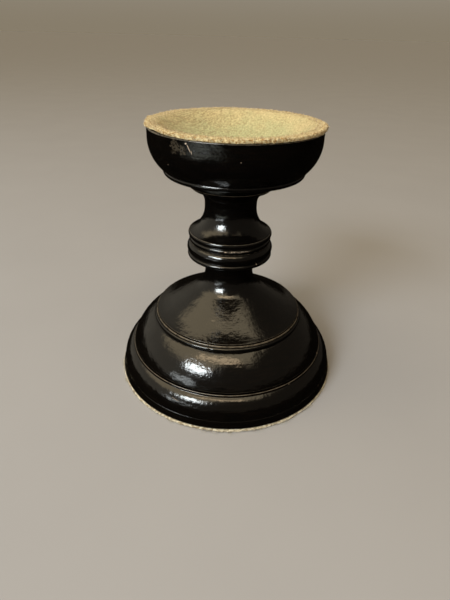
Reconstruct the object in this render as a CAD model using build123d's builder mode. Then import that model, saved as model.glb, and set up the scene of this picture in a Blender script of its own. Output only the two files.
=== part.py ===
"""Turned pedestal stand: a leather-lined cup on a waisted stem and a stepped foot.

Lengths are in millimetres. +Z is up, and the origin is the centre of the foot pad's underside.
Every turned piece is a half profile in the XZ plane, revolved about Z.
"""
import os
from math import cos, radians, sin, sqrt

from build123d import *

os.makedirs("parts", exist_ok=True)

# Leather
pad_thickness = 1.3
pad_radius = 50.2
lining_thickness = 1.6
lining_radius = 33.2

# Heights of the faces where the wooden pieces meet
foot_joint_z = 30.0
knop_joint_z = 62.6
cup_joint_z = 88.7
rim_z = 108.4

# Clearances of glued and screwed fits, on the radius and at the bottom of a socket
glue_gap = 0.1
socket_relief = 0.2

# Plinth: the stepped foot, from its bottom edge to the two beads under the stem
plinth_radius = 49.9
band_top = (49.1, 4.6)
line_depth = 0.2
lower_torus_start = (48.95, 5.2)
lower_torus_crown = (47.6, 10.0)
lower_torus_top = (44.2, 13.4)
fillet_height = 0.9
groove_radius = 42.6
groove_height = 0.6
upper_torus_lip = (43.6, 15.2)
upper_torus_crown = (39.6, 22.3)
upper_torus_top = (33.9, 27.2)
quirk_radius = 32.4
lower_bead_foot = (quirk_radius, 27.6)
lower_bead_crown = (33.6, 28.4)
bead_split_z = 29.1
upper_bead_radius = 32.7
screw_well_radius = 6.5
screw_well_depth = 9.0

# Lower stem: trumpet, neck and the two rings of the knop
trumpet_radius = 32.2
trumpet_seat_radius = 31.5
trumpet_edge_z = 30.6
trumpet_flat = (28.6, 32.15)
trumpet_waist = (25.8, 33.7)
neck_radius = 10.4
trumpet_cove_radius = 9.7
trumpet_slope = 32.0
trumpet_cove_z = 48.9
under_ring_z = 55.2
ring_base = (17.2, 56.2)
lower_ring_radius = 17.9
lower_ring_z = 57.1
ring_quirk = (17.2, 58.1)
upper_ring_radius = 18.05
upper_ring_z = 60.5
top_quirk_radius = 16.6
tenon_radius = 12.0
tenon_length = 6.0

# Upper stem: thin bead, bell, neck and the flare under the cup
thin_bead_radius = 17.15
thin_bead_z = (63.0, 64.9)
bell_radius = 17.45
bell_lip_z = 66.0
bell_cove_radius = 11.0
bell_cove_end = 66.0
upper_neck_radius = 10.6
upper_neck_z = (77.3, 79.0)
flare_radius = 6.4
flare_end = 80.0
collar_radius = 17.6
collar_height = 1.9
cup_tenon_radius = 8.0
cup_tenon_length = 5.0

# Cup
arris = (26.4, 91.1)
bead_waist = (27.3, 92.8)
bead_bulge = (27.5, 91.9)
wall_radius = 32.75
wall_bulge = (31.4, 97.9)
wall_top_z = 105.4
rim_round = 0.5
dish_radius = 29.3
dish_depth = 10.5

# The cup and its lining sit a little to one side of the stem that they are joined to.
cup_offset = 0.9

# Fixings
dowel_radius = 5.0
dowel_half_length = 12.0
cup_screw_radius = 2.1
cup_screw_head = 4.1
cup_screw_length = 20.0
foot_screw_radius = 2.5
foot_screw_head = 4.9
foot_screw_length = 35.0
screw_point = 3.0
slot_width = 1.1
slot_depth = 1.0
head_recess = 0.3

dish_sphere = (dish_radius**2 + dish_depth**2) / (2 * dish_depth)
dish_centre_z = rim_z - dish_depth + dish_sphere
cup_screw_top_z = rim_z - dish_depth - head_recess
foot_screw_top_z = pad_thickness + screw_well_depth


def lathe(offset):
    """The plane of a half profile, whose X is the radius and Y the height, and its turning axis."""
    centre = (offset, 0, 0)
    return Plane(origin=centre, x_dir=(1, 0, 0), z_dir=(0, -1, 0)), Axis(centre, (0, 0, 1))


def polar(centre, radius, degrees):
    """The point at an angle on a circle of a half profile."""
    return (centre[0] + radius * cos(radians(degrees)), centre[1] + radius * sin(radians(degrees)))


lathe_plane, lathe_axis = lathe(0.0)
cup_plane, cup_axis = lathe(cup_offset)


# Plinth: the wide stepped foot, with a socket for the stem and a well for the screw head.
with BuildPart() as plinth:
    with BuildSketch(lathe_plane):
        with BuildLine():
            Line((0, pad_thickness), (plinth_radius - 0.4, pad_thickness))
            Line((plinth_radius - 0.4, pad_thickness), (plinth_radius, pad_thickness + 0.4))
            Line((plinth_radius, pad_thickness + 0.4), band_top)
            line_root = (band_top[0] - line_depth, (band_top[1] + lower_torus_start[1]) / 2)
            Polyline(band_top, line_root, lower_torus_start)
            ThreePointArc(lower_torus_start, lower_torus_crown, lower_torus_top)
            fillet_top = (lower_torus_top[0] - 0.2, lower_torus_top[1] + fillet_height)
            groove_low = (groove_radius, fillet_top[1] + 0.1)
            groove_high = (groove_radius, groove_low[1] + groove_height)
            Polyline(lower_torus_top, fillet_top, groove_low, groove_high, upper_torus_lip)
            ThreePointArc(upper_torus_lip, upper_torus_crown, upper_torus_top)
            bead_split = (quirk_radius, bead_split_z)
            bead_head = (quirk_radius, foot_joint_z)
            Line(upper_torus_top, lower_bead_foot)
            upper_bead_mid = (upper_bead_radius, (bead_split_z + foot_joint_z) / 2)
            ThreePointArc(lower_bead_foot, lower_bead_crown, bead_split)
            ThreePointArc(bead_split, upper_bead_mid, bead_head)
            Polyline(bead_head, (0, foot_joint_z), (0, pad_thickness))
        make_face()
    revolve(axis=lathe_axis)
    with Locations((0, 0, foot_joint_z)):
        Hole(tenon_radius + glue_gap, depth=tenon_length + socket_relief)
    with BuildSketch(Plane.XY.offset(pad_thickness)):
        Circle(screw_well_radius)
    extrude(amount=screw_well_depth, mode=Mode.SUBTRACT)
    Hole(foot_screw_radius + glue_gap)

# Lower stem: the trumpet, the neck and the knop's two rings, with a tenon in the plinth.
with BuildPart() as lower_stem:
    with BuildSketch(lathe_plane):
        with BuildLine():
            cove_centre = (neck_radius + trumpet_cove_radius, trumpet_cove_z)
            cove_low = polar(cove_centre, trumpet_cove_radius, 270 - trumpet_slope)
            cove_mid = polar(cove_centre, trumpet_cove_radius, 225 - trumpet_slope / 2)
            cove_high = (neck_radius, trumpet_cove_z)
            tenon_z = foot_joint_z - tenon_length
            Polyline((0, tenon_z), (tenon_radius, tenon_z), (tenon_radius, foot_joint_z))
            seat = (trumpet_seat_radius, foot_joint_z)
            edge = (trumpet_radius, trumpet_edge_z)
            Line((tenon_radius, foot_joint_z), seat)
            Line(seat, edge)
            ThreePointArc(edge, trumpet_flat, trumpet_waist)
            Line(trumpet_waist, cove_low)
            ThreePointArc(cove_low, cove_mid, cove_high)
            Line(cove_high, (neck_radius, under_ring_z))
            Line((neck_radius, under_ring_z), ring_base)
            ThreePointArc(ring_base, (lower_ring_radius, lower_ring_z), ring_quirk)
            joint_edge = (top_quirk_radius, knop_joint_z)
            ThreePointArc(ring_quirk, (upper_ring_radius, upper_ring_z), joint_edge)
            Polyline(joint_edge, (0, knop_joint_z), (0, tenon_z))
        make_face()
    revolve(axis=lathe_axis)
    with Locations((0, 0, knop_joint_z)):
        Hole(dowel_radius + glue_gap, depth=dowel_half_length + socket_relief)
    pilot_depth = foot_screw_top_z + foot_screw_length + socket_relief - tenon_z
    with BuildSketch(Plane.XY.offset(tenon_z)):
        Circle(foot_screw_radius + glue_gap)
    extrude(amount=pilot_depth, mode=Mode.SUBTRACT)

# Upper stem: the thin bead, the bell, the neck and the flare, with a tenon in the cup.
with BuildPart() as upper_stem:
    with BuildSketch(lathe_plane):
        with BuildLine():
            bell_centre = (upper_neck_radius + bell_cove_radius, upper_neck_z[0])
            bell_low = polar(bell_centre, bell_cove_radius, 180 + bell_cove_end)
            bell_mid = polar(bell_centre, bell_cove_radius, 180 + bell_cove_end / 2)
            bell_high = (upper_neck_radius, upper_neck_z[0])
            flare_centre = (upper_neck_radius + flare_radius, upper_neck_z[1])
            flare_low = (upper_neck_radius, upper_neck_z[1])
            flare_mid = polar(flare_centre, flare_radius, 180 - flare_end / 2)
            flare_high = polar(flare_centre, flare_radius, 180 - flare_end)
            Line((0, knop_joint_z), (top_quirk_radius, knop_joint_z))
            bead_low = (top_quirk_radius, thin_bead_z[0])
            bead_mid = (thin_bead_radius, (thin_bead_z[0] + thin_bead_z[1]) / 2)
            bead_high = (top_quirk_radius, thin_bead_z[1])
            Line((top_quirk_radius, knop_joint_z), bead_low)
            ThreePointArc(bead_low, bead_mid, bead_high)
            ThreePointArc(bead_high, (bell_radius, bell_lip_z), bell_low)
            ThreePointArc(bell_low, bell_mid, bell_high)
            Line(bell_high, flare_low)
            ThreePointArc(flare_low, flare_mid, flare_high)
            collar_low = (collar_radius, cup_joint_z - collar_height)
            tenon_top = cup_joint_z + cup_tenon_length
            Polyline(
                flare_high,
                collar_low,
                (collar_radius, cup_joint_z),
                (cup_tenon_radius, cup_joint_z),
                (cup_tenon_radius, tenon_top),
                (0, tenon_top),
                (0, knop_joint_z),
            )
        make_face()
    revolve(axis=lathe_axis)
    with BuildSketch(Plane.XY.offset(knop_joint_z)):
        Circle(dowel_radius + glue_gap)
    extrude(amount=dowel_half_length + socket_relief, mode=Mode.SUBTRACT)
    with Locations((0, 0, tenon_top)):
        pilot_depth = tenon_top - cup_screw_top_z + cup_screw_length + socket_relief
        Hole(cup_screw_radius + glue_gap, depth=pilot_depth)

# Cup: a shallow bowl with a flat rim, a bead at its lower edge and a concave dish. Its socket and
# screw hole are on the stem's axis.
with BuildPart() as cup:
    with BuildSketch(cup_plane):
        with BuildLine():
            Line((0, cup_joint_z), (collar_radius + 0.2, cup_joint_z))
            Line((collar_radius + 0.2, cup_joint_z), arris)
            ThreePointArc(arris, bead_bulge, bead_waist)
            ThreePointArc(bead_waist, wall_bulge, (wall_radius, wall_top_z))
            Line((wall_radius, wall_top_z), (wall_radius, rim_z - rim_round))
            rim_edge = (wall_radius - rim_round, rim_z)
            RadiusArc((wall_radius, rim_z - rim_round), rim_edge, -rim_round)
            Line(rim_edge, (dish_radius, rim_z))
            dish_turn = dish_radius / 2
            dish_mid = (dish_turn, dish_centre_z - sqrt(dish_sphere**2 - dish_turn**2))
            ThreePointArc((dish_radius, rim_z), dish_mid, (0, rim_z - dish_depth))
            Line((0, rim_z - dish_depth), (0, cup_joint_z))
        make_face()
    revolve(axis=cup_axis)
    with BuildSketch(Plane.XY.offset(cup_joint_z)):
        Circle(cup_tenon_radius + glue_gap)
    extrude(amount=cup_tenon_length + socket_relief, mode=Mode.SUBTRACT)
    with Locations((0, 0, cup_screw_top_z)):
        CounterSinkHole(cup_screw_radius + glue_gap, cup_screw_head + glue_gap)

# Dish lining: one leather skin that lies on the rim and follows the dish.
with BuildPart() as dish_lining:
    with BuildSketch(cup_plane):
        with BuildLine():
            under_sphere = dish_sphere - glue_gap
            top_sphere = dish_sphere - lining_thickness
            top_z = rim_z + lining_thickness
            under_edge = sqrt(under_sphere**2 - (dish_centre_z - rim_z) ** 2)
            top_edge = sqrt(top_sphere**2 - (dish_centre_z - top_z) ** 2)
            dish_turn = dish_radius / 2
            under_mid = (dish_turn, dish_centre_z - sqrt(under_sphere**2 - dish_turn**2))
            top_mid = (dish_turn, dish_centre_z - sqrt(top_sphere**2 - dish_turn**2))
            ThreePointArc((0, dish_centre_z - under_sphere), under_mid, (under_edge, rim_z))
            Polyline((under_edge, rim_z), (lining_radius, rim_z), (lining_radius, top_z), (top_edge, top_z))
            ThreePointArc((top_edge, top_z), top_mid, (0, dish_centre_z - top_sphere))
            Line((0, dish_centre_z - top_sphere), (0, dish_centre_z - under_sphere))
        make_face()
    revolve(axis=cup_axis)

# Foot pad: a leather disc under the plinth.
with BuildPart() as foot_pad:
    with BuildSketch():
        Circle(pad_radius)
    extrude(amount=pad_thickness)

# Knop dowel: joins the two stems, with a small chamfer at each end.
with BuildPart() as knop_dowel:
    with BuildSketch(Plane.XY.offset(knop_joint_z - dowel_half_length)):
        Circle(dowel_radius)
    extrude(amount=2 * dowel_half_length)
    chamfer(knop_dowel.edges().filter_by(GeomType.CIRCLE), length=0.6)

# Cup screw: a countersunk wood screw, driven down through the cup's floor.
with BuildPart() as cup_screw:
    with BuildSketch(lathe_plane):
        with BuildLine():
            cup_tip_z = cup_screw_top_z - cup_screw_length
            Polyline(
                (0, cup_screw_top_z),
                (cup_screw_head, cup_screw_top_z),
                (cup_screw_radius, cup_screw_top_z - cup_screw_head + cup_screw_radius),
                (cup_screw_radius, cup_tip_z + screw_point),
                (0, cup_tip_z),
                (0, cup_screw_top_z),
            )
        make_face()
    revolve(axis=lathe_axis)
    with BuildSketch(Plane.XY.offset(cup_screw_top_z)):
        Rectangle(3 * cup_screw_head, slot_width)
    extrude(amount=-slot_depth, mode=Mode.SUBTRACT)

# Foot screw: a cheese-head wood screw, driven up through the plinth from the well.
with BuildPart() as foot_screw:
    with BuildSketch(lathe_plane):
        with BuildLine():
            head_thickness = foot_screw_radius
            foot_tip_z = foot_screw_top_z + foot_screw_length
            Polyline(
                (0, foot_screw_top_z - head_thickness),
                (foot_screw_head, foot_screw_top_z - head_thickness),
                (foot_screw_head, foot_screw_top_z),
                (foot_screw_radius, foot_screw_top_z),
                (foot_screw_radius, foot_tip_z - screw_point),
                (0, foot_tip_z),
                (0, foot_screw_top_z - head_thickness),
            )
        make_face()
    revolve(axis=lathe_axis)
    with BuildSketch(Plane.XY.offset(foot_screw_top_z - head_thickness)):
        Rectangle(3 * foot_screw_head, slot_width)
    extrude(amount=slot_depth, mode=Mode.SUBTRACT)

nodes = {
    "plinth": plinth,
    "lower_stem": lower_stem,
    "upper_stem": upper_stem,
    "cup": cup,
    "dish_lining": dish_lining,
    "foot_pad": foot_pad,
    "knop_dowel": knop_dowel,
    "cup_screw": cup_screw,
    "foot_screw": foot_screw,
}
for name, piece in nodes.items():
    piece.part.label = name
    export_step(piece.part, f"parts/{name}.step")
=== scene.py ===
"""Looks of the turned, leather-lined pedestal stand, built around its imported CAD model."""

import random
from math import atan2, ceil, cos, exp, inf, log, pi, radians, sin, sqrt, tau

import bpy
from mathutils import Matrix, Vector, noise


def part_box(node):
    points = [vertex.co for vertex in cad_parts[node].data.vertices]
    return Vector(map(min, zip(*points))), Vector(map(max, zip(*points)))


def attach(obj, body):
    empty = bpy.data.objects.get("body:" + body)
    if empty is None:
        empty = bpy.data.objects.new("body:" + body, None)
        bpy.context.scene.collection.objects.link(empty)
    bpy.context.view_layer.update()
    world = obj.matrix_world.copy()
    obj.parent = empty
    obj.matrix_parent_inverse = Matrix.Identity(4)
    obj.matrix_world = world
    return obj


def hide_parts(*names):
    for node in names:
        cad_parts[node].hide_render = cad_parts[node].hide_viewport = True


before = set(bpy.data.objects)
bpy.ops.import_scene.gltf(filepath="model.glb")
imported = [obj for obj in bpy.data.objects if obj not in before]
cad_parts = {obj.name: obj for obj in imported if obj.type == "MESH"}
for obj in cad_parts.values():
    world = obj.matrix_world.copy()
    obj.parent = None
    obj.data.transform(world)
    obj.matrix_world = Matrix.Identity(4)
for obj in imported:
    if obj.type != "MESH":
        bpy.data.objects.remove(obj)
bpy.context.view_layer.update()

MM = 0.001
LINE_STEP = 1.2
ARC_STEP = 0.4
ARC_TURN = radians(9)
ARC_FEWEST = 4
EDGE_ROUND = 0.2
EDGE_SHARE = 0.45
EDGE_TURN = radians(17)
EDGE_POINTS = 5
WEAR_STARTS = 0.5
WEAR_FULL = 2.4


def node_mm(name):
    """Lowest height, highest height and outer radius of a CAD node, in millimetres."""
    low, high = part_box(name)
    return low.z / MM, high.z / MM, (high.x - low.x) / 2 / MM


def node_aside(name):
    """How far a CAD node's middle stands towards +X, in millimetres."""
    low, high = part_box(name)
    return (high.x + low.x) / 2 / MM


def smoothstep(low, high, value):
    """0 below low, 1 above high, and a smooth rise between them."""
    t = min(1.0, max(0.0, (value - low) / (high - low)))
    return t * t * (3 - 2 * t)


def azimuth_gap(a, b):
    """The angle between two azimuths, in degrees."""
    return abs((a - b + 180) % 360 - 180)


def around(azimuth, radius=1.0, height=0.0):
    """The point at an azimuth in degrees, a distance from the axis and a height."""
    return Vector((radius * cos(radians(azimuth)), radius * sin(radians(azimuth)), height))


def soft_lower(a, b, softness):
    """The lower of two heights, with a soft turn where they cross."""
    gap = abs(a - b) / softness
    return min(a, b) - softness * log(1 + exp(-gap))


# ---------------------------------------------------------------- outlines


class Outline:
    """A half profile in millimetres of radius and height, drawn with the solid on its left."""

    def __init__(self, start):
        self.points = [Vector(start)]

    def line(self, *corners):
        """Straight runs, in short steps."""
        for corner in corners:
            start, end = self.points[-1], Vector(corner)
            steps = max(1, ceil((end - start).length / LINE_STEP))
            self.points += [start.lerp(end, i / steps) for i in range(1, steps + 1)]
        return self

    def jump(self, *corners):
        """Straight runs without steps, for the hidden faces."""
        self.points += [Vector(corner) for corner in corners]
        return self

    def arc(self, through, end):
        """A circular arc from the last point through one point to another."""
        a, b, c = self.points[-1], Vector(through), Vector(end)
        turn = 2 * (a.x * (b.y - c.y) + b.x * (c.y - a.y) + c.x * (a.y - b.y))
        aa, bb, cc = a.length_squared, b.length_squared, c.length_squared
        centre = Vector((
            (aa * (b.y - c.y) + bb * (c.y - a.y) + cc * (a.y - b.y)) / turn,
            (aa * (c.x - b.x) + bb * (a.x - c.x) + cc * (b.x - a.x)) / turn,
        ))
        radius = (a - centre).length
        start = atan2(a.y - centre.y, a.x - centre.x)
        sweep = (atan2(c.y - centre.y, c.x - centre.x) - start) % tau
        if turn < 0:
            sweep -= tau
        steps = max(ARC_FEWEST, ceil(abs(sweep) * radius / ARC_STEP), ceil(abs(sweep) / ARC_TURN))
        for i in range(1, steps):
            angle = start + sweep * i / steps
            self.points.append(centre + radius * Vector((cos(angle), sin(angle))))
        self.points.append(c)
        return self

    def curve(self, leave, arrive, end):
        """A smooth curve that leaves the last point and arrives at another towards two handles."""
        start, end = self.points[-1], Vector(end)
        leave, arrive = Vector(leave), Vector(arrive)
        steps = ceil((end - start).length / ARC_STEP)
        for i in range(1, steps + 1):
            t = i / steps
            first, middle, last = start.lerp(leave, t), leave.lerp(arrive, t), arrive.lerp(end, t)
            self.points.append(first.lerp(middle, t).lerp(middle.lerp(last, t), t))
        return self

    def softened(self):
        """The points with each sharp corner turned into a small round edge."""
        soft = [self.points[0]]
        for before, corner, after in zip(self.points, self.points[1:], self.points[2:]):
            into, out = corner - before, after - corner
            if into.angle(out, 0.0) < EDGE_TURN:
                soft.append(corner)
                continue
            cut = min(EDGE_ROUND, EDGE_SHARE * into.length, EDGE_SHARE * out.length)
            start, end = corner - into.normalized() * cut, corner + out.normalized() * cut
            for i in range(EDGE_POINTS):
                t = i / (EDGE_POINTS - 1)
                soft.append(start.lerp(corner, t).lerp(corner.lerp(end, t), t))
        soft.append(self.points[-1])
        return soft


def polar(centre, radius, angle):
    """The point at an angle in degrees on a circle of an outline."""
    turn = radians(angle)
    return centre[0] + radius * cos(turn), centre[1] + radius * sin(turn)


def wear_along(points):
    """How much hands have rubbed each point: 1 on an arris, less on a thin bead, 0 elsewhere."""
    wear = [0.0] * len(points)
    for i in range(1, len(points) - 1):
        into, out = points[i] - points[i - 1], points[i + 1] - points[i]
        turn = into.cross(out) / (into.length * out.length)
        bend = turn / ((into.length + out.length) / 2)
        wear[i] = smoothstep(WEAR_STARTS, WEAR_FULL, bend)
    return wear


# ---------------------------------------------------------------- turned wood

WANDER = 0.035
WANDER_SCALE = 0.07


def on_axis(point):
    """The sideways shift of a piece that stands on the common axis."""
    return 0.0


def turned(name, outline, segments, aside=on_axis):
    """A lathe-turned solid: the outline swept round the axis, with a hand-finished surface."""
    points = outline.softened()
    wear = wear_along(points)
    loop = points[0].x > MM
    verts, worn, rings = [], [], []
    for point, rub in zip(points, wear):
        shift = aside(point)
        if point.x < MM:
            rings.append([len(verts)])
            verts.append(Vector((0, 0, point.y)))
            worn.append(0.0)
            continue
        rings.append(range(len(verts), len(verts) + segments))
        for i in range(segments):
            angle = tau * i / segments
            place = Vector((point.x * cos(angle), point.x * sin(angle), point.y))
            wander = WANDER * noise.noise(place * WANDER_SCALE)
            scale = (point.x + wander) / point.x
            verts.append(Vector((place.x * scale + shift, place.y * scale, place.z)))
            worn.append(rub)
    pairs = list(zip(rings, rings[1:]))
    if loop:
        pairs.append((rings[-1], rings[0]))
    faces = []
    for low, high in pairs:
        for i in range(segments):
            j = (i + 1) % segments
            if len(low) == 1:
                faces.append((low[0], high[j], high[i]))
            elif len(high) == 1:
                faces.append((low[i], low[j], high[0]))
            else:
                faces.append((low[i], low[j], high[j], high[i]))
    return solid(name, verts, faces, worn=worn)


def solid(name, verts, faces, aside=0.0, **attributes):
    """A smooth-shaded mesh object from points in millimetres, with named numbers at each point."""
    shift = Vector((aside, 0, 0))
    mesh = bpy.data.meshes.new(name)
    mesh.from_pydata([(vert + shift) * MM for vert in verts], [], faces)
    mesh.update()
    mesh.polygons.foreach_set("use_smooth", [True] * len(mesh.polygons))
    for key, values in attributes.items():
        layer = mesh.attributes.new(key, "FLOAT", "POINT")
        layer.data.foreach_set("value", values)
    piece = bpy.data.objects.new(name, mesh)
    bpy.context.scene.collection.objects.link(piece)
    return piece


def placed(piece, node, material):
    """Puts a finished piece in the place of its CAD node."""
    piece.data.materials.append(material)
    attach(piece, "root")
    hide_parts(node)
    return piece


GLUE_GAP = 0.1
SOCKET_RELIEF = 0.2
STEM_TENON = 12.0
CUP_TENON = 8.0
STEM_NECK = 10.4
UPPER_NECK = 10.6
FOOT_SCREW_SHANK = 2.5
CUP_SCREW_SHANK = 2.1
SCREW_WELL = 6.5


def plinth_outline():
    """The stepped foot: band, two tori and two beads, with its socket and screw well."""
    low, high, radius = node_mm("plinth")
    tenon_low, _, _ = node_mm("lower_stem")
    screw_low, _, _ = node_mm("foot_screw")
    well_top = screw_low + FOOT_SCREW_SHANK
    bore = FOOT_SCREW_SHANK + GLUE_GAP
    socket, floor = STEM_TENON + GLUE_GAP, tenon_low - SOCKET_RELIEF
    chamfer = 0.4
    band_top = (radius - 0.8, low + 3.3)
    line_root = (radius - 1.0, low + 3.6)
    lower_torus_foot = (radius - 0.95, low + 3.9)
    lower_torus_handles = (radius - 1.25, low + 6.9), (radius - 2.6, low + 10.8)
    lower_torus_top = (radius - 5.7, low + 12.1)
    fillet_top = (radius - 5.9, low + 13.0)
    groove_root = (radius - 7.3, low + 13.1), (radius - 7.3, low + 13.7)
    upper_torus_foot = (radius - 6.3, low + 13.9)
    upper_torus_crown = (radius - 10.3, low + 21.0)
    upper_torus_top = (radius - 16.0, low + 25.9)
    quirk = radius - 17.5
    lower_bead_crown = (radius - 16.3, high - 1.6)
    upper_bead_crown = (radius - 17.2, high - 0.45)
    shape = Outline((bore, (well_top + tenon_low) / 2))
    shape.jump((bore, well_top), (SCREW_WELL, well_top), (SCREW_WELL, low))
    shape.jump((radius - chamfer, low), (radius, low + chamfer))
    shape.line(band_top, line_root, lower_torus_foot)
    shape.curve(*lower_torus_handles, lower_torus_top).line(fillet_top)
    shape.line(*groove_root, upper_torus_foot)
    shape.arc(upper_torus_crown, upper_torus_top)
    shape.line((quirk, high - 2.4))
    shape.arc(lower_bead_crown, (quirk, high - 0.9))
    shape.arc(upper_bead_crown, (quirk, high))
    shape.jump((socket, high), (socket, floor), (bore, floor))
    return shape


def lower_stem_outline():
    """The trumpet, the neck and the knop's two rings, with a tenon and two bores."""
    low, high, radius = node_mm("lower_stem")
    _, seat, _ = node_mm("plinth")
    dowel_low, _, dowel_radius = node_mm("knop_dowel")
    _, screw_tip, _ = node_mm("foot_screw")
    bore_top, socket_floor = screw_tip + SOCKET_RELIEF, dowel_low - SOCKET_RELIEF
    neck, bore, socket = STEM_NECK, FOOT_SCREW_SHANK + GLUE_GAP, dowel_radius + GLUE_GAP
    neck_foot, neck_top = high - 13.7, high - 7.4
    cove, slope = 9.7, 32.0
    cove_centre = (neck + cove, neck_foot)
    skirt = (radius - 0.7, seat), (radius, seat + 0.6)
    lip_crown, lip_top = (radius - 3.6, seat + 2.15), (radius - 6.4, seat + 3.7)
    lower_ring_foot, lower_ring_crown = (neck + 6.8, high - 6.4), (neck + 7.5, high - 5.5)
    ring_quirk = (neck + 6.8, high - 4.5)
    upper_ring_crown, upper_ring_top = (neck + 7.65, high - 2.1), (neck + 6.2, high)
    shape = Outline((0, bore_top))
    shape.jump((bore, bore_top), (bore, low), (STEM_TENON, low), (STEM_TENON, seat))
    shape.jump(skirt[0]).line(skirt[1])
    shape.arc(lip_crown, lip_top)
    shape.line(polar(cove_centre, cove, 270 - slope))
    shape.arc(polar(cove_centre, cove, 225 - slope / 2), (neck, neck_foot))
    shape.line((neck, neck_top), lower_ring_foot)
    shape.arc(lower_ring_crown, ring_quirk)
    shape.arc(upper_ring_crown, upper_ring_top)
    shape.jump((socket, high), (socket, socket_floor), (0, socket_floor))
    return shape


def upper_stem_outline():
    """The thin bead, the bell, the neck and the flare, with a tenon and two bores."""
    low, high, radius = node_mm("upper_stem")
    seat, _, _ = node_mm("cup")
    _, dowel_top, dowel_radius = node_mm("knop_dowel")
    screw_tip, _, _ = node_mm("cup_screw")
    socket_top, bore_floor = dowel_top + SOCKET_RELIEF, screw_tip - SOCKET_RELIEF
    neck, bore, socket = UPPER_NECK, CUP_SCREW_SHANK + GLUE_GAP, dowel_radius + GLUE_GAP
    neck_foot, neck_top = low + 14.7, low + 16.4
    bell_cove, bell_end, flare, flare_end = 11.0, 66.0, 6.4, 80.0
    bell_centre, flare_centre = (neck + bell_cove, neck_foot), (neck + flare, neck_top)
    quirk, bead_foot, bead_top = radius - 1.0, low + 0.4, low + 2.3
    bead_crown, bell_edge = (radius - 0.45, low + 1.35), (radius - 0.15, low + 3.4)
    collar_foot = seat - 1.9
    shape = Outline((0, socket_top))
    shape.jump((socket, socket_top), (socket, low), (quirk, low))
    shape.line((quirk, bead_foot)).arc(bead_crown, (quirk, bead_top))
    shape.arc(bell_edge, polar(bell_centre, bell_cove, 180 + bell_end))
    shape.arc(polar(bell_centre, bell_cove, 180 + bell_end / 2), (neck, neck_foot))
    shape.line((neck, neck_top))
    flare_middle = polar(flare_centre, flare, 180 - flare_end / 2)
    shape.arc(flare_middle, polar(flare_centre, flare, 180 - flare_end))
    shape.line((radius, collar_foot), (radius, seat))
    shape.jump((CUP_TENON, seat), (CUP_TENON, high), (bore, high))
    shape.jump((bore, bore_floor), (0, bore_floor))
    return shape


LEATHER_GAP = 0.02
DISH_RADIUS = 29.3
DISH_DEPTH = 10.5
DISH_SPHERE = (DISH_RADIUS**2 + DISH_DEPTH**2) / (2 * DISH_DEPTH)


def dish_height(radius, sphere, rim):
    """Height of the dish's ball-shaped floor at a radius, for a ball of the given radius."""
    return rim - DISH_DEPTH + DISH_SPHERE - sqrt(sphere**2 - radius**2)


def cup_outline():
    """The bowl with its flat rim, the bead at its lower edge and the dish, with a tenon socket."""
    low, rim, radius = node_mm("cup")
    _, tenon_top, collar = node_mm("upper_stem")
    _, head_top, head = node_mm("cup_screw")
    bore, socket = CUP_SCREW_SHANK + GLUE_GAP, CUP_TENON + GLUE_GAP
    socket_top, countersink = tenon_top + SOCKET_RELIEF, head + GLUE_GAP
    bead_foot, bead_crown = (radius - 6.4, low + 2.4), (radius - 5.3, low + 3.2)
    bead_top, belly = (radius - 5.5, low + 4.1), (radius - 1.4, low + 9.2)
    side_foot, side_top = (radius, rim - 3.0), (radius, rim - 0.5)
    rim_middle, rim_edge = (radius - 0.15, rim - 0.15), (radius - 0.5, rim)
    halfway = DISH_RADIUS * 0.6
    dish_middle = (halfway, dish_height(halfway, DISH_SPHERE, rim))
    dish_end = (countersink, dish_height(countersink, DISH_SPHERE, rim))
    shape = Outline((bore, head_top - 2.8))
    shape.jump((bore, socket_top), (socket, socket_top), (socket, low))
    shape.jump((collar + 0.2, low)).line(bead_foot)
    shape.arc(bead_crown, bead_top).arc(belly, side_foot)
    shape.line(side_top).arc(rim_middle, rim_edge)
    shape.line((DISH_RADIUS, rim)).arc(dish_middle, dish_end)
    shape.jump((countersink, head_top), (bore, head_top - head + bore))
    return shape


def cup_aside(point):
    """The cup's shift to one side, which its socket and screw hole don't share."""
    _, head_top, head = node_mm("cup_screw")
    _, _, collar = node_mm("upper_stem")
    if point.y <= head_top and point.x < collar:
        return 0.0
    return node_aside("cup") * smoothstep(head, 2 * head, point.x)


# ---------------------------------------------------------------- materials


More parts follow.
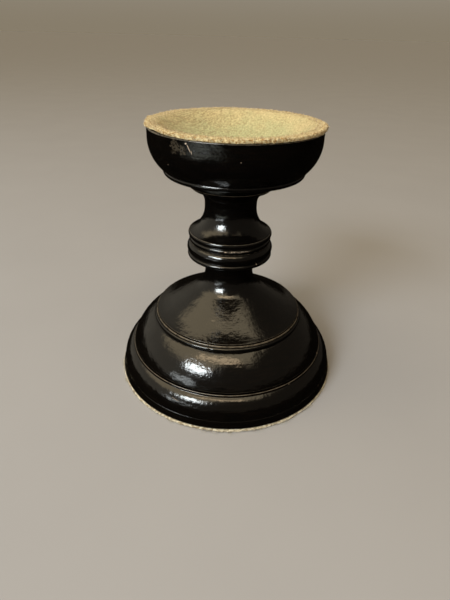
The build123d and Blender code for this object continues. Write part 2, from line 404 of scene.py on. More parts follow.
class Nodes:
    """Short ways to add nodes to a node tree and join them."""

    def __init__(self, tree):
        self.tree = tree

    def feed(self, socket, value):
        """Joins a socket to another, or sets its value."""
        if isinstance(value, bpy.types.NodeSocket):
            self.tree.links.new(value, socket)
        else:
            socket.default_value = value

    def node(self, kind, **settings):
        """Adds a node. Lower-case settings are its properties and the others its inputs."""
        made = self.tree.nodes.new(kind)
        for key, value in settings.items():
            if key[0].islower():
                setattr(made, key, value)
            else:
                self.feed(made.inputs[key.replace("_", " ")], value)
        return made

    def vector(self, operation, a, b=(0, 0, 0), **inputs):
        made = self.node("ShaderNodeVectorMath", operation=operation, **inputs)
        self.feed(made.inputs[0], a)
        if operation != "SCALE":
            self.feed(made.inputs[1], b)
        return made.outputs["Value" if operation in ("LENGTH", "DISTANCE", "DOT_PRODUCT") else "Vector"]

    def math(self, operation, a, b=0.0):
        made = self.node("ShaderNodeMath", operation=operation)
        self.feed(made.inputs[0], a)
        self.feed(made.inputs[1], b)
        return made.outputs[0]

    def ramp(self, value, low, high):
        """A smooth rise from 0 where the value is low to 1 where it is high; low may be above high."""
        made = self.node("ShaderNodeMapRange", interpolation_type="SMOOTHSTEP")
        self.feed(made.inputs["Value"], value)
        self.feed(made.inputs["From Min"], min(low, high))
        self.feed(made.inputs["From Max"], max(low, high))
        self.feed(made.inputs["To Min"], 0.0 if low < high else 1.0)
        self.feed(made.inputs["To Max"], 1.0 if low < high else 0.0)
        return made.outputs["Result"]

    def faint(self, value, low, high, strength):
        """A ramp that rises to a strength instead of to 1."""
        return self.math("MULTIPLY", self.ramp(value, low, high), strength)

    def mix(self, factor, a, b):
        """Colour a where the factor is 0 and b where it is 1."""
        made = self.node("ShaderNodeMix", data_type="RGBA")
        self.feed(made.inputs["Factor"], factor)
        for socket, value in ((made.inputs[6], a), (made.inputs[7], b)):
            self.feed(socket, value if isinstance(value, bpy.types.NodeSocket) else (*value, 1.0))
        return made.outputs[2]

    def blend(self, factor, a, b):
        """Number a where the factor is 0 and b where it is 1."""
        made = self.node("ShaderNodeMix", data_type="FLOAT")
        self.feed(made.inputs["Factor"], factor)
        self.feed(made.inputs[2], a)
        self.feed(made.inputs[3], b)
        return made.outputs[0]


class Shader(Nodes):
    """A material. Its places are in millimetres."""

    def __init__(self, name):
        self.material = bpy.data.materials.new(name)
        self.material.use_nodes = True
        super().__init__(self.material.node_tree)
        self.surface = self.tree.nodes["Principled BSDF"]
        coordinates = self.node("ShaderNodeTexCoord").outputs["Object"]
        self.place = self.vector("SCALE", coordinates, Scale=1 / MM)

    def noise(self, size, detail=2.0, roughness=0.5, place=None, distortion=0.0):
        """Noise whose lumps are about size millimetres across, from 0 to 1."""
        made = self.node(
            "ShaderNodeTexNoise",
            Vector=place or self.place,
            Scale=1 / size,
            Detail=detail,
            Roughness=roughness,
            Distortion=distortion,
        )
        return made.outputs["Fac"]

    def stretched(self, turn, size):
        """Places turned by an angle in degrees on each axis, then divided by size on each axis."""
        turned_place = self.node(
            "ShaderNodeMapping", Vector=self.place, Rotation=[radians(angle) for angle in turn]
        )
        return self.vector("DIVIDE", turned_place.outputs[0], size)

    def turning(self, width, length):
        """Places for marks that run round a turned surface, by their width and their length."""
        z = self.node("ShaderNodeSeparateXYZ", Vector=self.place).outputs["Z"]
        flat = self.vector("MULTIPLY", self.place, (1, 1, 0))
        radius = self.vector("LENGTH", flat)
        step = self.math("SUBTRACT", z, self.math("MULTIPLY", radius, TURNING_SLOPE))
        along = self.vector("DIVIDE", flat, (length, length, 1))
        across = self.node("ShaderNodeCombineXYZ", Z=self.math("DIVIDE", step, width)).outputs[0]
        return self.vector("ADD", along, across)

    def at(self, name):
        """The number that the mesh carries at each point under this name."""
        return self.node("ShaderNodeAttribute", attribute_name=name).outputs["Fac"]

    def bump(self, height, depth, normal=None):
        """A normal bent by a height from 0 to 1, whose full range is depth millimetres."""
        made = self.node("ShaderNodeBump", Strength=1.0, Distance=depth * MM, Height=height)
        if normal:
            self.feed(made.inputs["Normal"], normal)
        return made.outputs["Normal"]

    def spot(self, azimuth, radius, height, size, tilt, ragged, lump):
        """1 inside a ragged oval mark on a turned surface: size is across, through and up."""
        angle = radians(azimuth)
        moved = self.vector("SUBTRACT", self.place, (radius * cos(angle), radius * sin(angle), height))
        upright = self.node(
            "ShaderNodeMapping", Vector=moved, Rotation=(0, 0, radians(90) - angle)
        )
        leaning = self.node(
            "ShaderNodeMapping", Vector=upright.outputs[0], Rotation=(0, radians(tilt), 0)
        )
        away = self.vector("LENGTH", self.vector("DIVIDE", leaning.outputs[0], size))
        rough = self.math("MULTIPLY", self.noise(lump, 3.0), 2 * ragged)
        return self.ramp(self.math("ADD", away, rough), 1.0 + ragged, 0.6 + ragged)

    def finish(self, **inputs):
        """Sets the shader's own sockets and gives the material."""
        for key, value in inputs.items():
            self.feed(self.surface.inputs[key.replace("_", " ")], value)
        return self.material


BLACK = (0.0013, 0.0011, 0.0009)
STAIN = (0.0034, 0.0022, 0.0015)
RUBBED = (0.088, 0.070, 0.048)
# Bare wood, also used as painted glints on the bead's chips.
BARE_AND_GLINT = (0.46, 0.36, 0.27)
PATCH_STRENGTH = 0.50
TURNING_SLOPE = 0.7
TURNING_WIDTH, TURNING_LENGTH = 0.28, 7.0
TOOLING_WIDTH, TOOLING_LENGTH = 0.9, 16.0
HAIRLINE_TURNS = ((20, 0, 35), (-35, 0, -40))
HAIRLINE_SIZE = (0.11, 5.0, 0.11)
HAIRLINE_STRENGTH = 0.5
SMEAR_ROUGHNESS = 0.16
FINE_ROUGHNESS = 0.06
TURNING_ROUGHNESS = 0.06
DULL_ROUGHNESS = 0.55
HAIRLINE_ROUGHNESS = 0.45
WAVE_DEPTH = 0.28
RIPPLE_DEPTH = 0.030
TOOLING_DEPTH = 0.030
TURNING_DEPTH = 0.012
CHIP_DEPTH = 0.05
POLISH_IOR = 1.52


def worn_wood(shade, fine, patches):
    """Where the stain is rubbed thin: along the arrises and in ragged, mottled patches."""
    spread = shade.math("MULTIPLY", shade.at("worn"), shade.noise(1.6, 4.0, 0.65))
    worn = shade.ramp(spread, 0.20, 0.56)
    for patch in patches:
        ragged_patch = shade.spot(*patch, ragged=1.4, lump=1.3)
        mottled = shade.faint(fine, 0.30, 0.70, PATCH_STRENGTH)
        worn = shade.math("MAXIMUM", worn, shade.math("MULTIPLY", ragged_patch, mottled))
    return worn


def bare_wood_and_glints(shade, marks, chips_and_glints):
    """Where the stain is gone: in small marks and in a line of chips, whose pale colour also stands as
    painted glints.
    """
    bare_and_glints = 0.0
    for mark in marks:
        bare_and_glints = shade.math("MAXIMUM", bare_and_glints, shade.spot(*mark, ragged=0.5, lump=0.4))
    if chips_and_glints:
        # Along the bead the pale chips are partly real chipped polish and partly painted glints.
        line = shade.spot(*chips_and_glints, ragged=0.3, lump=0.8)
        bare_and_glints = shade.math("MAXIMUM", bare_and_glints, shade.faint(shade.noise(0.42, 3.0, 0.7), 0.52, 0.60, line))
    return bare_and_glints


def hairlines(shade):
    """Fine scratches that cross each other in two directions."""
    sets = []
    for turn in HAIRLINE_TURNS:
        lines = shade.noise(1.0, 2.0, 0.5, place=shade.stretched(turn, HAIRLINE_SIZE))
        sets.append(shade.ramp(lines, 0.68, 0.76))
    return shade.math("MAXIMUM", *sets)


def ebonised(name, marks=(), patches=(), chips_and_glints=()):
    """Black-stained hardwood under a hand-rubbed gloss polish, browner where it is worn."""
    shade = Shader(name)
    smear = shade.noise(6.0, 3.0, 0.6)
    fine = shade.noise(0.45, 3.0, 0.6)
    turning = shade.noise(1.0, 3.0, 0.6, place=shade.turning(TURNING_WIDTH, TURNING_LENGTH))
    tooling = shade.noise(1.0, 2.0, 0.5, place=shade.turning(TOOLING_WIDTH, TOOLING_LENGTH))
    worn = worn_wood(shade, fine, patches)
    bare_and_glints = bare_wood_and_glints(shade, marks, chips_and_glints)
    dull = shade.math("MAXIMUM", shade.math("MULTIPLY", worn, 0.5), bare_and_glints)

    colour = shade.mix(shade.ramp(turning, 0.42, 0.72), BLACK, STAIN)
    colour = shade.mix(worn, colour, RUBBED)
    # Pale where the stain is gone; on the bead this pale colour is also a painted glint.
    colour = shade.mix(bare_and_glints, colour, BARE_AND_GLINT)

    smeared = shade.math("MULTIPLY", smear, SMEAR_ROUGHNESS)
    haze = shade.math("ADD", smeared, shade.math("MULTIPLY", fine, FINE_ROUGHNESS))
    rough = shade.math("ADD", haze, shade.math("MULTIPLY", turning, TURNING_ROUGHNESS))
    rough = shade.blend(dull, rough, DULL_ROUGHNESS)
    scratched = shade.math("MULTIPLY", hairlines(shade), HAIRLINE_STRENGTH)
    rough = shade.blend(scratched, rough, HAIRLINE_ROUGHNESS)

    waves = shade.bump(smear, WAVE_DEPTH)
    ripple = shade.bump(shade.noise(1.1, 3.0, 0.6), RIPPLE_DEPTH, waves)
    tooled = shade.bump(tooling, TOOLING_DEPTH, ripple)
    combed = shade.bump(turning, TURNING_DEPTH, tooled)
    chipped = shade.bump(shade.math("SUBTRACT", 1.0, dull), CHIP_DEPTH, combed)
    return shade.finish(Base_Color=colour, Roughness=rough, Normal=chipped, IOR=POLISH_IOR)


SAGE = (0.405, 0.405, 0.225)
CREAM = (0.53, 0.435, 0.235)
TAN = (0.24, 0.175, 0.080)
CUT = (0.30, 0.155, 0.042)
PALE = (0.68, 0.575, 0.335)
PAD_PALE = (0.62, 0.57, 0.45)
PAD_DARK = (0.24, 0.19, 0.12)
NAP_TURN = 38.0
NAP_SIZE = (0.38, 4.5, 1.5)
# Strength of the nap's stripes on each side; the left one is also painted shade.
LEFT_NAP_AND_SHADE, BRUSHED_RIGHT = 0.6, 0.25
SPECK_STRENGTH, FLECK_STRENGTH, VERGE_STRENGTH = 0.62, 0.6, 0.85
NAP_DEPTH, COMBED_DEPTH, PAD_NAP_DEPTH = 0.32, 0.30, 0.15
SUEDE_ROUGHNESS = 0.95
SUEDE_SPECULAR = 0.12


def dish_suede(radius, aside):
    """Suede with a brushed nap: sage in the middle, cream at the rim, tan along its cut edge, and
    painted shade as stronger tan stripes on its left side.
    """
    shade = Shader("dish_suede")
    middle = shade.vector("SUBTRACT", shade.place, (aside, 0, 0))
    flat = shade.vector("MULTIPLY", middle, (1, 1, 0))
    outward = shade.math("DIVIDE", shade.vector("LENGTH", flat), radius)
    drift = shade.math("MULTIPLY", shade.math("SUBTRACT", shade.noise(9.0, 3.0, 0.6), 0.5), 0.5)
    centre = shade.ramp(shade.math("ADD", outward, drift), 0.92, 0.55)
    colour = shade.mix(centre, CREAM, SAGE)

    combed_place = shade.stretched((0, 0, NAP_TURN), NAP_SIZE)
    stripes = shade.noise(1.0, 3.0, 0.6, place=combed_place, distortion=0.5)
    # Painted shade: the tan stripes grow stronger towards -X, which darkens the dish's left wall on top
    # of the real nap.
    side = shade.node("ShaderNodeSeparateXYZ", Vector=middle).outputs["X"]
    nap_and_left_shade = shade.blend(shade.ramp(side, 4.0, -14.0), BRUSHED_RIGHT, LEFT_NAP_AND_SHADE)
    colour = shade.mix(shade.faint(stripes, 0.46, 0.60, nap_and_left_shade), colour, TAN)
    specks = shade.noise(0.8, 3.0, 0.7)
    colour = shade.mix(shade.faint(specks, 0.50, 0.64, SPECK_STRENGTH), colour, TAN)
    colour = shade.mix(shade.faint(specks, 0.46, 0.34, FLECK_STRENGTH), colour, PALE)

    clumps = shade.ramp(shade.noise(0.85, 3.0, 0.65), 0.41, 0.54)
    verge = shade.math("MAXIMUM", shade.at("cut"), shade.ramp(outward, 0.925, 0.985))
    verge = shade.math("MULTIPLY", verge, VERGE_STRENGTH)
    colour = shade.mix(verge, colour, shade.mix(clumps, CUT, PALE))

    nap = shade.bump(shade.noise(0.5, 4.0, 0.7), NAP_DEPTH)
    combed = shade.bump(stripes, COMBED_DEPTH, nap)
    return shade.finish(
        Base_Color=colour,
        Roughness=SUEDE_ROUGHNESS,
        Normal=combed,
        Specular_IOR_Level=SUEDE_SPECULAR,
        Sheen_Weight=0.15,
        Sheen_Roughness=0.45,
        Sheen_Tint=(1.0, 0.95, 0.82, 1.0),
    )


def plain_suede(name, base, dark):
    """Pale fibrous suede for the foot pad and the loose fibres."""
    shade = Shader(name)
    tufts = shade.ramp(shade.noise(1.1, 4.0, 0.65), 0.42, 0.58)
    nap = shade.bump(shade.noise(0.35, 3.0, 0.6), PAD_NAP_DEPTH)
    return shade.finish(
        Base_Color=shade.mix(tufts, base, dark),
        Roughness=SUEDE_ROUGHNESS,
        Normal=nap,
        Specular_IOR_Level=SUEDE_SPECULAR,
        Sheen_Weight=0.4,
        Sheen_Roughness=0.5,
    )


BEECH = (0.56, 0.36, 0.20)
BEECH_RING = (0.42, 0.25, 0.13)
BEECH_FLECK = (0.25, 0.13, 0.06)
BRASS, DULL_BRASS = (0.80, 0.55, 0.22), (0.42, 0.27, 0.11)
STEEL, DULL_STEEL = (0.56, 0.55, 0.53), (0.24, 0.22, 0.20)


def beech():
    """Plain beech, with its short dark flecks along the grain."""
    shade = Shader("beech")
    rings = shade.noise(1.0, 3.0, 0.6, place=shade.stretched((0, 0, 0), (1.2, 1.2, 14.0)))
    flecks = shade.noise(1.0, 2.0, 0.5, place=shade.stretched((0, 0, 0), (0.18, 0.18, 1.6)))
    colour = shade.mix(shade.ramp(rings, 0.35, 0.7), BEECH, BEECH_RING)
    colour = shade.mix(shade.ramp(flecks, 0.62, 0.72), colour, BEECH_FLECK)
    return shade.finish(Base_Color=colour, Roughness=0.6, Normal=shade.bump(flecks, 0.03))


def screw_metal(name, bright, dull):
    """Turned metal with fine tool lines and a dull film."""
    shade = Shader(name)
    lines = shade.noise(1.0, 2.0, 0.5, place=shade.stretched((0, 0, 0), (4.0, 4.0, 0.08)))
    film = shade.noise(1.4, 4.0, 0.65)
    return shade.finish(
        Base_Color=shade.mix(shade.ramp(film, 0.4, 0.7), bright, dull),
        Metallic=1.0,
        Roughness=shade.blend(shade.ramp(film, 0.35, 0.75), 0.25, 0.5),
        Normal=shade.bump(lines, 0.01),
    )


# ---------------------------------------------------------------- leather


def skin(name, rings, segments, cut, aside=0.0):
    """A closed sheet from rings of points, from the middle of its top to the middle of its underside."""
    verts, faces, marks = [], [], []
    for ring, mark in zip(rings, cut):
        verts += ring
        marks += [mark] * len(ring)
    start = 0
    for ring, following in zip(rings, rings[1:]):
        a, b = start, start + len(ring)
        for i in range(segments):
            j = (i + 1) % segments
            if len(ring) == 1:
                faces.append((a, b + i, b + j))
            elif len(following) == 1:
                faces.append((a + i, b, a + j))
            else:
                faces.append((a + i, b + i, b + j, a + j))
        start = b
    return solid(name, verts, faces, aside, cut=marks)


LINING_SEGMENTS = 600
LINING_STEPS = 90
UNDER_STEPS = 22
CUT_STEPS = 6
EDGE_BAND = 0.8
LINING_SHAVED = 0.3
LINING_INSET = 0.2
LINING_BULGE, LINING_FUZZ = 0.10, 0.42
CRUMB_HEIGHT = 0.50
CRUMB_PLACE = Vector((3, 9, 0))
TIP_AZIMUTH = 170.0
LIFT_AZIMUTH = 212.0
OVERHANG_AZIMUTH = -4.0


def bell_curve(azimuth, centre, spread):
    """1 at a centre azimuth, falling away over a spread in degrees."""
    return exp(-((azimuth_gap(azimuth, centre) / spread) ** 2))


def lining_reach(azimuth, radius):
    """Radius of the lining's hand-cut edge at an azimuth."""
    spin = around(azimuth)
    ragged = 0.26 * noise.noise(spin * 6.0) + 0.26 * noise.noise(spin * 26.0)
    tip = 1.1 * bell_curve(azimuth, TIP_AZIMUTH, 1.4)
    overhang = 0.35 * bell_curve(azimuth, OVERHANG_AZIMUTH, 9.0)
    return radius + ragged + tip + overhang - LINING_INSET


def lining_lift(azimuth, outward):
    """How far the lining stands off the rim near its edge."""
    gap = 0.55 * bell_curve(azimuth, LIFT_AZIMUTH, 13.0)
    wave = 0.22 * max(0.0, noise.noise(around(azimuth) * 2.3 + Vector((5, 1, 0))))
    return smoothstep(0.86, 1.0, outward) * (gap + wave)


def lining_spread(outward, radius):
    """A ring of (azimuth, radius) that grows from a circle into the hand-cut edge."""
    ragged = smoothstep(EDGE_BAND, 1.0, outward)
    ring = []
    for i in range(LINING_SEGMENTS):
        azimuth = 360 * i / LINING_SEGMENTS
        reach = lining_reach(azimuth, radius)
        ring.append((azimuth, outward * (radius + (reach - radius) * ragged)))
    return ring


def lining_top(outward, radius, ball, rim, high):
    """A ring of the lining's top, with its lumps and the crumbs of its verge."""
    ring = []
    for azimuth, r in lining_spread(outward, radius):
        flat = around(azimuth, r)
        lumps = 0.13 * noise.noise(flat * 1.5) + 0.10 * noise.noise(flat * 0.25)
        crumbs = CRUMB_HEIGHT * noise.noise(flat * 1.3 + CRUMB_PLACE)
        lumps += crumbs * smoothstep(0.90, 0.97, outward)
        shoulder = 0.20 * smoothstep(0.985, 1.0, outward)
        z = soft_lower(dish_height(r, ball, rim), high, 0.5)
        ring.append(around(azimuth, r, z + lumps + lining_lift(azimuth, outward) - shoulder))
    return ring


def lining_under(outward, radius, ball, rim):
    """A ring of the lining's underside, which lies in the dish and on the rim."""
    ring = []
    for azimuth, r in lining_spread(outward, radius):
        z = min(dish_height(r, ball, rim), rim) + LEATHER_GAP
        ring.append(around(azimuth, r, z + lining_lift(azimuth, outward)))
    return ring


def lining_piece():
    """The skin in the dish: pressed into the hollow, laid over the rim and cut by hand."""
    _, top, radius = node_mm("dish_lining")
    _, rim, _ = node_mm("cup")
    high = top - LINING_SHAVED
    top_ball, under_ball = DISH_SPHERE - (high - rim), DISH_SPHERE - GLUE_GAP
    rings, cut = [[around(0, 0, dish_height(0, top_ball, rim))]], [0.0]
    for part in range(1, LINING_STEPS + 1):
        rings.append(lining_top(part / LINING_STEPS, radius, top_ball, rim, high))
        cut.append(0.0)
    upper, lower = rings[-1], lining_under(1.0, radius, under_ball, rim)
    for part in range(1, CUT_STEPS):
        down = part / CUT_STEPS
        rings.append(cut_ring(upper, lower, down, LINING_BULGE, LINING_FUZZ))
        cut.append(smoothstep(0.0, 0.35, down))
    for part in range(UNDER_STEPS, 0, -1):
        rings.append(lining_under(part / UNDER_STEPS, radius, under_ball, rim))
        cut.append(1.0 if part == UNDER_STEPS else 0.0)
    rings.append([around(0, 0, dish_height(0, under_ball, rim) + LEATHER_GAP)])
    cut.append(0.0)
    return skin("lining_suede", rings, LINING_SEGMENTS, cut, node_aside("dish_lining"))


def bristled(point, bulge, fuzz):
    """A point of a cut edge, pushed outward by the bulge and a little noise."""
    out = Vector((point.x, point.y, 0)).normalized()
    return point + out * (bulge + fuzz * noise.noise(point * 1.6))


def cut_ring(upper, lower, down, bulge, fuzz):
    """A ring of a cut edge, part of the way down from its upper to its lower ring."""
    belly = bulge * sin(pi * down)
    return [bristled(a.lerp(b, down), belly, fuzz) for a, b in zip(upper, lower)]


PAD_SEGMENTS = 480
PAD_STEPS = 24
PAD_CUT_STEPS = 5
PAD_INSET = 0.25
PAD_DROOP = 0.2
PAD_BULGE, PAD_FUZZ = 0.12, 0.16


def pad_ring(reaches, outward, height, droop):
    """A ring of the pad's top or underside, whose very edge droops away from the flat."""
    z = height - droop * smoothstep(0.985, 1.0, outward)
    return [around(360 * i / PAD_SEGMENTS, outward * reach, z) for i, reach in enumerate(reaches)]


def pad_piece():
    """The disc under the foot, with a soft and uneven cut edge."""
    low, high, radius = node_mm("foot_pad")
    reaches = []
    for i in range(PAD_SEGMENTS):
        spin = around(360 * i / PAD_SEGMENTS)
        ragged = 0.32 * noise.noise(spin * 5.0) + 0.30 * noise.noise(spin * 40.0)
        reaches.append(radius - PAD_INSET + ragged)
    rings, cut = [[around(0, 0, high)]], [0.0]
    outwards = [1 - (1 - part / PAD_STEPS) ** 2 for part in range(1, PAD_STEPS + 1)]
    for outward in outwards:
        rings.append(pad_ring(reaches, outward, high, PAD_DROOP))
        cut.append(0.0)
    upper, lower = rings[-1], pad_ring(reaches, 1.0, low, -PAD_DROOP)
    for part in range(1, PAD_CUT_STEPS):
        rings.append(cut_ring(upper, lower, part / PAD_CUT_STEPS, PAD_BULGE, PAD_FUZZ))
        cut.append(1.0)
    for outward in reversed(outwards):
        rings.append(pad_ring(reaches, outward, low, -PAD_DROOP))
        cut.append(0.0)
    rings.append([around(0, 0, low)])
    cut.append(0.0)
    return skin("pad_suede", rings, PAD_SEGMENTS, cut)


FIBRE_STEPS = 3
FIBRE_SIDES = 3
FIBRE_SPREAD, FIBRE_CURL, FIBRE_TAPER = 0.55, 0.6, 0.65


def scatter(rng):
    """A random direction with a random length up to 1."""
    return Vector([rng.uniform(-1, 1) for _ in range(3)])


def fibres(name, roots, rng, aside=0.0, floor=-inf):
    """Loose tapered fibres. A root is (place, way out, length, thickness) in millimetres."""
    verts, faces = [], []
    for place, way, length, thickness in roots:
        way = (way + FIBRE_SPREAD * scatter(rng)).normalized()
        curl = FIBRE_CURL * scatter(rng)
        side = way.orthogonal().normalized()
        across = way.cross(side)
        first = len(verts)
        for step in range(FIBRE_STEPS + 1):
            t = step / FIBRE_STEPS
            centre = place + length * (way * t + curl * t * t)
            width = thickness * (1 - FIBRE_TAPER * t)
            for k in range(FIBRE_SIDES):
                turn = tau * k / FIBRE_SIDES
                vert = centre + width * (cos(turn) * side + sin(turn) * across)
                vert.z = max(vert.z, floor)
                verts.append(vert)
        for step in range(FIBRE_STEPS):
            base = first + step * FIBRE_SIDES
            for k in range(FIBRE_SIDES):
                n = (k + 1) % FIBRE_SIDES
                faces.append((base + k, base + n, base + FIBRE_SIDES + n, base + FIBRE_SIDES + k))
        tip = first + FIBRE_STEPS * FIBRE_SIDES
        faces.append(tuple(reversed(range(first, first + FIBRE_SIDES))))
        faces.append(tuple(range(tip, tip + FIBRE_SIDES)))
    return solid(name, verts, faces, aside)


LINING_FIBRES, LINING_SEED = 6500, 11
STRAND_THICKNESS = 2.2


def lining_fringe():
    """The fibres that stand out of the lining's cut edge and off the skin beside it."""
    rng = random.Random(LINING_SEED)
    _, top, radius = node_mm("dish_lining")
    _, rim, _ = node_mm("cup")
    high = top - LINING_SHAVED
    roots = []
    for i in range(LINING_FIBRES):
        azimuth = rng.uniform(0, 360)
        reach = lining_reach(azimuth, radius)
        lift = lining_lift(azimuth, 1.0)
        thickness = rng.uniform(0.04, 0.075) * (STRAND_THICKNESS if i % 5 == 0 else 1.0)
        if i % 2:
            place = around(azimuth, reach - 0.12, rng.uniform(rim + 0.2, high - 0.05) + lift)
            roots.append((place, around(azimuth), rng.uniform(0.2, 0.65), thickness))
        else:
            place = around(azimuth, reach - rng.uniform(0.05, 3.0) ** 1.2, high + lift - 0.05)
            roots.append((place, around(azimuth, 0.6, 0.9), rng.uniform(0.2, 0.5), thickness))
    return fibres("lining_fibres", roots, rng, node_aside("dish_lining"))


PAD_FIBRES, PAD_SEED = 2600, 5
TUFT_SPREAD, TUFT_LENGTH = 1.2, 1.4
PAD_TUFTS = (205.0, 244.0, 262.0, 268.0, 273.0, 286.0, 300.0, 316.0, 190.0, 60.0, 110.0, 150.0, 20.0)


def pad_fringe():
    """The fibres round the edge of the foot pad, and the tufts where it has frayed."""
    rng = random.Random(PAD_SEED)
    low, high, radius = node_mm("foot_pad")
    roots = []
    for i in range(PAD_FIBRES):
        in_tuft = i % 4 == 0
        azimuth = rng.uniform(0, 360)
        if in_tuft:
            azimuth = rng.choice(PAD_TUFTS) + rng.gauss(0, TUFT_SPREAD)
        place = around(azimuth, radius - PAD_INSET, rng.uniform(low + 0.15, high - 0.1))
        length = rng.uniform(0.25, 1.1) * (TUFT_LENGTH if in_tuft else 1.0)
        roots.append((place, around(azimuth, 1.0, 0.15), length, rng.uniform(0.03, 0.06)))
    return fibres("pad_fibres", roots, rng, floor=low)


# ---------------------------------------------------------------- the object

PLINTH_SEGMENTS, STEM_SEGMENTS, UPPER_SEGMENTS, CUP_SEGMENTS = 320, 320, 280, 360

# A mark is (azimuth, radius, height, half sizes across, through and up, tilt),
# in degrees and millimetres.
CUP_PATCHES = (
    (235.0, 32.6, 105.6, (2.2, 2.0, 2.2), 20.0),
    (240.5, 32.6, 104.9, (1.3, 2.0, 1.8), -10.0),
)
CUP_MARKS = (
    (244.6, 32.6, 105.9, (0.15, 1.5, 1.6), -30.0),
    (242.8, 32.6, 107.2, (0.45, 1.5, 0.30), 0.0),
    (246.4, 32.6, 104.7, (0.10, 1.5, 0.7), -10.0),
    (226.4, 31.7, 98.9, (0.15, 1.5, 0.13), 0.0),
    (274.9, 32.6, 102.7, (0.16, 1.5, 0.14), 0.0),
)
PLINTH_MARKS = (
    (306.8, 44.1, 13.7, (0.25, 1.5, 0.14), 0.0),
    (340.1, 43.9, 14.3, (0.18, 1.5, 0.18), 0.0),
    (245.0, 46.9, 10.4, (2.2, 1.5, 0.05), 8.0),
)
# Chipped polish along the thin bead, painted pale as painted glints as well.
BEAD_CHIPS_AND_GLINTS = (279.0, 16.6, 64.3, (8.5, 3.5, 0.30), 0.0)
KNOP_MARKS = (
    (308.9, 17.6, 57.9, (0.25, 1.2, 0.2), 0.0),
)


def build_object():
    """Every piece that shows, each in the place of its CAD node."""
    plinth_wood = ebonised("ebonised_plinth", PLINTH_MARKS)
    lower_wood = ebonised("ebonised_lower_stem", KNOP_MARKS)
    upper_wood = ebonised("ebonised_upper_stem", chips_and_glints=BEAD_CHIPS_AND_GLINTS)
    cup_wood = ebonised("ebonised_cup", CUP_MARKS, CUP_PATCHES)
    foot = turned("turned_plinth", plinth_outline(), PLINTH_SEGMENTS)
    plinth = placed(foot, "plinth", plinth_wood)
    trumpet = turned("turned_lower_stem", lower_stem_outline(), STEM_SEGMENTS)
    placed(trumpet, "lower_stem", lower_wood)
    bell = turned("turned_upper_stem", upper_stem_outline(), UPPER_SEGMENTS)
    placed(bell, "upper_stem", upper_wood)
    bowl = turned("turned_cup", cup_outline(), CUP_SEGMENTS, cup_aside)
    cup = placed(bowl, "cup", cup_wood)

    _, _, lining_radius = node_mm("dish_lining")
    lining_leather = dish_suede(lining_radius, node_aside("dish_lining"))
    lining = placed(lining_piece(), "dish_lining", lining_leather)
    fibre_leather = plain_suede("lining_fibre", PALE, CUT)
    lining_edge = placed(lining_fringe(), "dish_lining", fibre_leather)
    pad_leather = plain_suede("pad_suede", PAD_PALE, PAD_DARK)
    pad = placed(pad_piece(), "foot_pad", pad_leather)
    pad_edge = placed(pad_fringe(), "foot_pad", pad_leather)


def dress_fixings():
    """Finishes for the hidden dowel and screws, which keep their CAD shapes."""
    finishes = {
        "knop_dowel": beech(),
        "cup_screw": screw_metal("screw_brass", BRASS, DULL_BRASS),
        "foot_screw": screw_metal("screw_steel", STEEL, DULL_STEEL),
    }
    for name, finish in finishes.items():
        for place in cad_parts[name].material_slots:
            place.material = finish


# ---------------------------------------------------------------- studio

# The floor's lengths and places are in millimetres, and those of the lights and camera in metres.
FLOOR_TONE = (0.31, 0.31, 0.33)
FLOOR_CLOUDS = 0.93
FLOOR_RADIUS = 30000.0
FLOOR_CORNERS = 96
FLOOR_PAINTED_DARK = (0.004, 0.0035, 0.003)
FLOOR_PAINTED_GLEAM = (0.60, 0.66, 0.66)
GLEAM_PLACE = (-330, -400, 0)
GLEAM_OUTER, GLEAM_INNER = 300.0, 60.0
BACKDROP = (0.42, 0.40, 0.37)
HORIZON = (0.242, 0.205, 0.147)
WALLS = (0.10, 0.085, 0.065)
LEFT_WALL = (0.55, 0.50, 0.40)
CEILING = (2.3, 1.9, 1.25)


def studio_floor():
    """A wide, plain and pale floor, painted darker where the wood's polish reflects it, with a painted
    bright gleam that shows only in reflections.
    """
    corners = [around(360 * i / FLOOR_CORNERS, FLOOR_RADIUS) for i in range(FLOOR_CORNERS)]
    floor = solid("studio_floor", corners, [tuple(range(FLOOR_CORNERS))])
    shade = Shader("studio_floor")
    cloud = shade.noise(60.0, 3.0, 0.5)
    pale = shade.mix(cloud, FLOOR_TONE, tuple(FLOOR_CLOUDS * tone for tone in FLOOR_TONE))
    # Painted reflection: to glossy rays the floor shows near black, with a painted bright gleam at the
    # front left.
    from_gleam = shade.vector("DISTANCE", shade.place, GLEAM_PLACE)
    painted_reflection = shade.mix(shade.ramp(from_gleam, GLEAM_OUTER, GLEAM_INNER), FLOOR_PAINTED_DARK, FLOOR_PAINTED_GLEAM)
    glossy = shade.node("ShaderNodeLightPath").outputs["Is Glossy Ray"]
    tone = shade.mix(glossy, pale, painted_reflection)
    floor.data.materials.append(shade.finish(Base_Color=tone, Roughness=0.8, Specular_IOR_Level=0.0))


def toward(azimuth, elevation, distance):
    """A place seen from the object at an azimuth from the camera, + to its right, and an elevation."""
    flat = distance * cos(radians(elevation))
    return Vector((
        flat * sin(radians(azimuth)), -flat * cos(radians(azimuth)), distance * sin(radians(elevation))
    ))


# Directions in the room, each with two nearnesses to it: where its light is out, and where it is full.
VIEWER, VIEWER_EDGE = toward(12.0, 36.0, 1.0), (0.95, 0.87)
BEHIND, BEHIND_EDGE = (0.15, 1.0, 0.0), (0.30, 0.16)
RIGHT, RIGHT_EDGE = toward(90.0, 0.0, 1.0), (0.52, 0.30)
LEFT, LEFT_EDGE = toward(-95.0, 15.0, 1.0), (0.35, 0.95)

# The same for the height of a direction: under the ceiling, and at the horizon.
CEILING_EDGE = (0.52, 0.70)
HORIZON_EDGE = (0.0, 0.25)


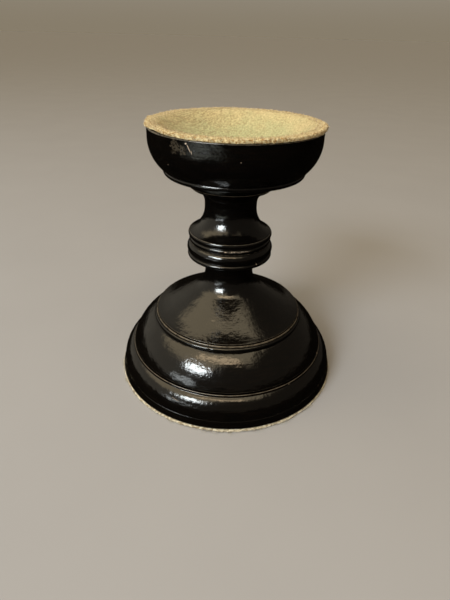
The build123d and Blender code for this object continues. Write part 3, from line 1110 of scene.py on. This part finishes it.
def studio_world():
    """A soft warm ceiling over dim walls in reflections, and a plain backdrop for the camera."""
    world = bpy.data.worlds.new("studio")
    world.use_nodes = True
    bpy.context.scene.world = world
    nodes = Nodes(world.node_tree)
    way = nodes.node("ShaderNodeTexCoord").outputs["Generated"]
    rise = nodes.node("ShaderNodeSeparateXYZ", Vector=way).outputs["Z"]

    def lit(direction, edge):
        """How much light there is at each nearness to a direction."""
        return nodes.ramp(nodes.vector("DOT_PRODUCT", way, direction), *edge)

    light = nodes.ramp(rise, *CEILING_EDGE)
    for part in (lit(VIEWER, VIEWER_EDGE), lit(BEHIND, BEHIND_EDGE), lit(RIGHT, RIGHT_EDGE)):
        light = nodes.math("MULTIPLY", light, part)
    tone = nodes.mix(lit(LEFT, LEFT_EDGE), WALLS, LEFT_WALL)
    tone = nodes.mix(light, tone, CEILING)
    backdrop = nodes.mix(nodes.ramp(rise, *HORIZON_EDGE), HORIZON, BACKDROP)
    seen = nodes.node("ShaderNodeLightPath").outputs["Is Camera Ray"]
    background = world.node_tree.nodes["Background"]
    nodes.feed(background.inputs["Color"], nodes.mix(seen, tone, backdrop))
    nodes.feed(background.inputs["Strength"], 1.0)


def softbox(name, place, aim, size, power, colour):
    """A rectangular soft light that points at the object."""
    lamp = bpy.data.lights.new(name, "AREA")
    lamp.shape = "RECTANGLE"
    lamp.size, lamp.size_y = size
    lamp.energy = power
    lamp.color = colour
    holder = bpy.data.objects.new(name, lamp)
    holder.location = place
    holder.rotation_euler = (Vector(aim) - Vector(place)).to_track_quat("-Z", "Y").to_euler()
    bpy.context.scene.collection.objects.link(holder)


# Each softbox: azimuth, elevation and distance from the object, then its size, power and colour.
SOFTBOXES = {
    "window": ((-38.0, 33.0, 1.2), (0.48, 0.28), 13.2, (0.92, 0.99, 1.0)),
    "gleam": ((-46.0, 3.0, 1.2), (0.55, 0.12), 1.2, (0.92, 0.99, 1.0)),
    "lamp": ((-14.0, 64.0, 1.3), (0.90, 0.20), 3.4, (1.0, 0.74, 0.46)),
}


def studio_lights():
    """A cool window, the gleam low under it, and a warm lamp near the ceiling."""
    middle = Vector((0, 0, 0.05))
    for name, (place, size, power, colour) in SOFTBOXES.items():
        softbox(name, middle + toward(*place), middle, size, power, colour)


SENSOR_WIDTH = 36.0
FOCAL_LENGTH = 25.8
EYE_PLACE = (0, -0.1695, 0.1369)
EYE_YAW = 0.46
EYE_DOWNWARD = 31.77
EYE_ROLL = 1.49


def studio_camera():
    """A close, wide view from above the front."""
    lens = bpy.data.cameras.new("camera")
    lens.sensor_width = SENSOR_WIDTH
    lens.lens = FOCAL_LENGTH
    lens.clip_start = 0.01
    eye = bpy.data.objects.new("camera", lens)
    yaw = Matrix.Rotation(radians(EYE_YAW), 3, "Z")
    tilt = Matrix.Rotation(radians(90 - EYE_DOWNWARD), 3, "X")
    roll = Matrix.Rotation(radians(EYE_ROLL), 3, "Z")
    eye.rotation_euler = (yaw @ tilt @ roll).to_euler()
    eye.location = EYE_PLACE
    bpy.context.scene.collection.objects.link(eye)
    bpy.context.scene.camera = eye


build_object()
dress_fixings()
studio_floor()
studio_world()
studio_lights()
studio_camera()
bpy.context.scene.view_settings.view_transform = "Standard"
